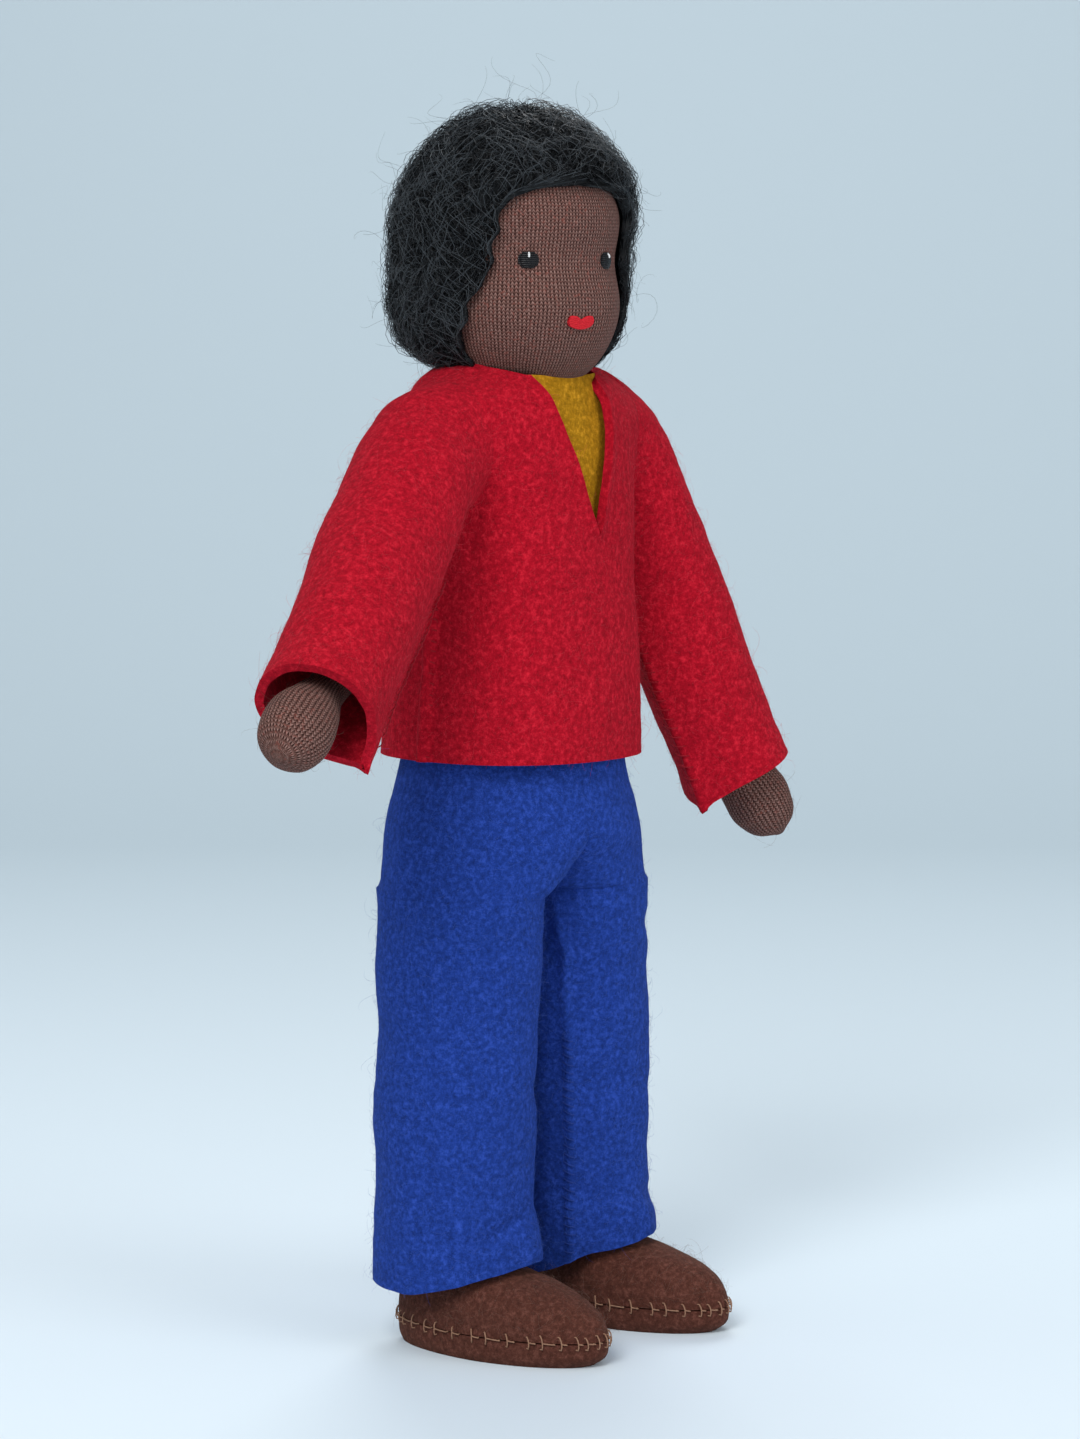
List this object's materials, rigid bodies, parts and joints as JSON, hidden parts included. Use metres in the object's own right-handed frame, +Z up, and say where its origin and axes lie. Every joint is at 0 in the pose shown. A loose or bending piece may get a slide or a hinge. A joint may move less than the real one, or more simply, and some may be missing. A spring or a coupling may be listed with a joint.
{
  "type": "bendy doll",
  "caption": "Dollhouse man with a wound wire armature, knit head and hands, mohair hair, felt pullover and trousers, and stitched felt shoes.",
  "frame": {"origin": "bottom centre of the doll's box, on the floor under the soles", "axes": "+Z up; -Y the way the hips and chest face; +X towards the doll's own left"},
  "size_m": [0.1008, 0.0404, 0.1497],
  "materials": {
    "crimson_felt": "matte",
    "royal_felt": "matte",
    "mustard_felt": "matte",
    "brown_felt": "matte",
    "brown_knit": "matte",
    "black_mohair": "satin",
    "tan_thread": "matte",
    "black_thread": "satin",
    "red_thread": "satin",
    "wool": "matte",
    "wire": "satin"
  },
  "bodies": {
    "pelvis": {"hip_wire": "wire", "spine_wire_lower": "wire", "hip_wrap": "wool", "trousers_seat": "royal_felt"},
    "chest": {"spine_wire_upper": "wire", "shoulder_wire": "wire", "chest_wrap": "wool", "undershirt": "mustard_felt", "sweater_body": "crimson_felt"},
    "neck": {"neck_wire": "wire"},
    "head": {"head_wire": "wire", "head_ball": "wool", "head_cover": "brown_knit", "hair": "black_mohair", "eye_R": "black_thread", "eye_L": "black_thread", "mouth": "red_thread"},
    "shoulder_R": {"shoulder_bend_R": "wire"},
    "upper_arm_R": {"upper_arm_wire_R": "wire", "upper_arm_wrap_R": "wool", "sleeve_upper_R": "crimson_felt"},
    "forearm_R": {"forearm_wire_R": "wire", "forearm_wrap_R": "wool", "sleeve_cuff_R": "crimson_felt"},
    "hand_R": {"hand_wire_R": "wire", "hand_R_mitt": "brown_knit"},
    "hip_R": {"hip_bend_R": "wire"},
    "thigh_R": {"thigh_wire_R": "wire", "thigh_wrap_R": "wool", "trouser_thigh_R": "royal_felt"},
    "shin_R": {"shin_wire_R": "wire", "shin_wrap_R": "wool", "trouser_shin_R": "royal_felt"},
    "foot_R": {"foot_wire_R": "wire", "shoe_stuffing_R": "wool", "shoe_upper_R": "brown_felt", "shoe_sole_R": "brown_felt", "shoe_stitching_R": "tan_thread"},
    "shoulder_L": {"shoulder_bend_L": "wire"},
    "upper_arm_L": {"upper_arm_wire_L": "wire", "upper_arm_wrap_L": "wool", "sleeve_upper_L": "crimson_felt"},
    "forearm_L": {"forearm_wire_L": "wire", "forearm_wrap_L": "wool", "sleeve_cuff_L": "crimson_felt"},
    "hand_L": {"hand_wire_L": "wire", "hand_L_mitt": "brown_knit"},
    "hip_L": {"hip_bend_L": "wire"},
    "thigh_L": {"thigh_wire_L": "wire", "thigh_wrap_L": "wool", "trouser_thigh_L": "royal_felt"},
    "shin_L": {"shin_wire_L": "wire", "shin_wrap_L": "wool", "trouser_shin_L": "royal_felt"},
    "foot_L": {"foot_wire_L": "wire", "shoe_stuffing_L": "wool", "shoe_upper_L": "brown_felt", "shoe_sole_L": "brown_felt", "shoe_stitching_L": "tan_thread"}
  },
  "joints": [
    {"name": "waist_bend", "type": "hinge", "parent": "pelvis", "child": "chest", "pos_m": [0.00861, 0.00322, 0.0775], "axis": [1, 0, 0], "range_deg": [-20, 40], "deforming": ["sweater_body", "undershirt"]},
    {"name": "neck_turn", "type": "hinge", "parent": "chest", "child": "neck", "pos_m": [0.00951, 0.0033, 0.11199], "axis": [0.0261, 0.0023, 0.9997], "range_deg": [-60, 60]},
    {"name": "neck_nod", "type": "hinge", "parent": "neck", "child": "head", "pos_m": [0.00964, 0.00331, 0.11699], "axis": [0.9874, -0.1565, -0.0254], "range_deg": [-20, 25]},
    {"name": "shoulder_swing_R", "type": "hinge", "parent": "chest", "child": "shoulder_R", "pos_m": [-0.00779, 0.00178, 0.10944], "axis": [-0.9959, -0.0871, 0.0262], "range_deg": [-69, 126], "deforming": ["sleeve_upper_R"]},
    {"name": "shoulder_raise_R", "type": "hinge", "parent": "shoulder_R", "child": "upper_arm_R", "pos_m": [-0.00779, 0.00178, 0.10944], "axis": [-0.0902, 0.9091, -0.4066], "range_deg": [-37, 48], "deforming": ["sleeve_upper_R"]},
    {"name": "elbow_bend_R", "type": "hinge", "parent": "upper_arm_R", "child": "forearm_R", "pos_m": [-0.02285, -0.00536, 0.09682], "axis": [-0.6877, 0.2384, 0.6857], "range_deg": [-20, 100], "deforming": ["sleeve_upper_R"]},
    {"name": "wrist_bend_R", "type": "hinge", "parent": "forearm_R", "child": "hand_R", "pos_m": [-0.03855, -0.0128, 0.08367], "axis": [-0.5229, 0.3042, 0.7963], "range_deg": [-25, 25]},
    {"name": "shoulder_swing_L", "type": "hinge", "parent": "chest", "child": "shoulder_L", "pos_m": [0.02666, 0.0048, 0.10854], "axis": [-0.9959, -0.0871, 0.0262], "range_deg": [-57, 138], "deforming": ["sleeve_upper_L"]},
    {"name": "shoulder_raise_L", "type": "hinge", "parent": "shoulder_L", "child": "upper_arm_L", "pos_m": [0.02666, 0.0048, 0.10854], "axis": [0.0907, -0.974, 0.2078], "range_deg": [-11, 74], "deforming": ["sleeve_upper_L"]},
    {"name": "elbow_bend_L", "type": "hinge", "parent": "upper_arm_L", "child": "forearm_L", "pos_m": [0.03398, 0.00136, 0.08926], "axis": [-0.9324, -0.1564, -0.326], "range_deg": [-20, 100], "deforming": ["sleeve_upper_L"]},
    {"name": "wrist_bend_L", "type": "hinge", "parent": "forearm_L", "child": "hand_L", "pos_m": [0.04161, -0.00222, 0.06916], "axis": [-0.82, -0.1914, -0.5394], "range_deg": [-25, 25]},
    {"name": "hip_swing_R", "type": "hinge", "parent": "pelvis", "child": "hip_R", "pos_m": [-0.00039, 0.00322, 0.0585], "axis": [-1, 0, 0], "range_deg": [-30, 95], "deforming": ["trousers_seat", "trouser_thigh_R"]},
    {"name": "hip_spread_R", "type": "hinge", "parent": "hip_R", "child": "thigh_R", "pos_m": [-0.00039, 0.00322, 0.0585], "axis": [0, 1, 0], "range_deg": [0, 30], "deforming": ["trouser_thigh_R"]},
    {"name": "knee_bend_R", "type": "hinge", "parent": "thigh_R", "child": "shin_R", "pos_m": [0.00004, 0.00417, 0.03352], "axis": [0.9847, 0.1729, 0.0235], "range_deg": [-10, 100], "deforming": ["trouser_thigh_R"]},
    {"name": "ankle_bend_R", "type": "hinge", "parent": "shin_R", "child": "foot_R", "pos_m": [0.00046, 0.00509, 0.009], "axis": [-0.9848, -0.1736, 0], "range_deg": [-25, 4]},
    {"name": "hip_swing_L", "type": "hinge", "parent": "pelvis", "child": "hip_L", "pos_m": [0.01761, 0.00322, 0.0585], "axis": [-1, 0, 0], "range_deg": [-30, 95], "deforming": ["trousers_seat", "trouser_thigh_L"]},
    {"name": "hip_spread_L", "type": "hinge", "parent": "hip_L", "child": "thigh_L", "pos_m": [0.01761, 0.00322, 0.0585], "axis": [0, -1, 0], "range_deg": [0, 30], "deforming": ["trouser_thigh_L"]},
    {"name": "knee_bend_L", "type": "hinge", "parent": "thigh_L", "child": "shin_L", "pos_m": [0.02017, 0.00463, 0.03367], "axis": [0.9728, 0.203, 0.1117], "range_deg": [-10, 100], "deforming": ["trouser_thigh_L"]},
    {"name": "ankle_bend_L", "type": "hinge", "parent": "shin_L", "child": "foot_L", "pos_m": [0.02271, 0.00603, 0.009], "axis": [-0.9781, -0.2079, 0], "range_deg": [-25, 4]}
  ]
}
